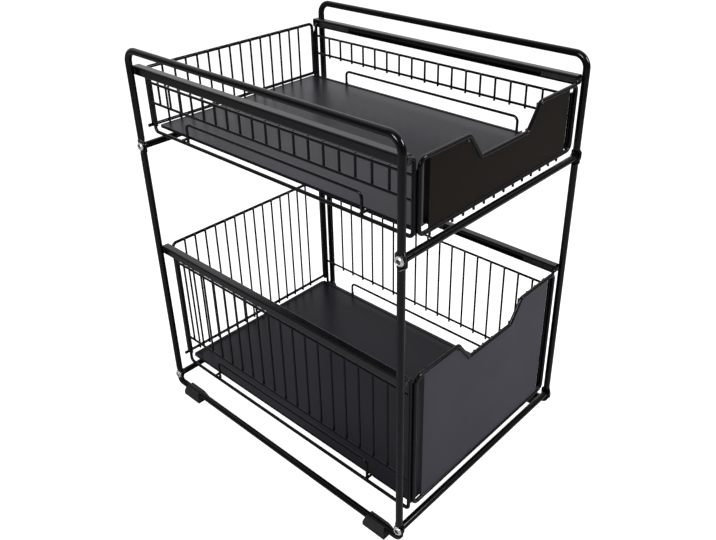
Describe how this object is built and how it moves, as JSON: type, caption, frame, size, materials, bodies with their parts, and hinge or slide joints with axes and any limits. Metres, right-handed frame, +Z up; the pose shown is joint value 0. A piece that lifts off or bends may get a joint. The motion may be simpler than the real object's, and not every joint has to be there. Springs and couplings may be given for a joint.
{
  "type": "pull-out cabinet basket",
  "caption": "Two-tier cabinet organiser: a bolted black tube frame with two wire baskets that slide out on channel rails.",
  "frame": {"origin": "floor level, middle of the footprint", "axes": "+Z up, -Y towards the user, the way both drawers pull out; +X to the right seen from behind the user"},
  "size_m": [0.316, 0.412, 0.4815],
  "materials": {
    "black_paint": "satin",
    "rail_paint": "satin",
    "black_sheet": "matte",
    "bare_steel": "satin",
    "zinc_screws": "satin",
    "nylon": "satin",
    "rubber": "matte"
  },
  "bodies": {
    "frame": {"left_upper_frame": "black_paint", "right_upper_frame": "black_paint", "left_front_post": "black_paint", "left_back_post": "black_paint", "right_front_post": "black_paint", "right_back_post": "black_paint", "left_base_bar": "black_paint", "right_base_bar": "black_paint", "front_middle_crossbar": "black_paint", "back_middle_crossbar": "black_paint", "front_bottom_crossbar": "black_paint", "back_bottom_crossbar": "black_paint", "upper_left_rail": "rail_paint", "upper_right_rail": "rail_paint", "lower_left_rail": "rail_paint", "lower_right_rail": "rail_paint", "upper_rail_guides": "nylon", "lower_rail_guides": "nylon", "frame_screws": "zinc_screws", "left_front_foot": "rubber", "left_back_foot": "rubber", "right_front_foot": "rubber", "right_back_foot": "rubber"},
    "upper_drawer": {"upper_left_hanger": "black_paint", "upper_right_hanger": "black_paint", "upper_left_runner": "bare_steel", "upper_right_runner": "bare_steel", "upper_glides": "nylon", "upper_left_side_grid": "black_paint", "upper_right_side_grid": "black_paint", "upper_left_guard": "black_paint", "upper_right_guard": "black_paint", "upper_cross_wires": "black_paint", "upper_back_grid": "black_paint", "upper_front_grid": "black_paint", "upper_front_panel": "black_sheet", "upper_tray": "black_sheet"},
    "lower_drawer": {"lower_left_hanger": "black_paint", "lower_right_hanger": "black_paint", "lower_left_runner": "bare_steel", "lower_right_runner": "bare_steel", "lower_glides": "nylon", "lower_left_side_grid": "black_paint", "lower_right_side_grid": "black_paint", "lower_left_guard": "black_paint", "lower_right_guard": "black_paint", "lower_cross_wires": "black_paint", "lower_back_grid": "black_paint", "lower_front_grid": "black_paint", "lower_front_panel": "black_sheet", "lower_tray": "black_sheet"}
  },
  "joints": [
    {"name": "upper_drawer_slide", "type": "slide", "parent": "frame", "child": "upper_drawer", "axis": [0, -1, 0], "range_m": [0, 0.28]},
    {"name": "lower_drawer_slide", "type": "slide", "parent": "frame", "child": "lower_drawer", "axis": [0, -1, 0], "range_m": [0, 0.28]}
  ]
}
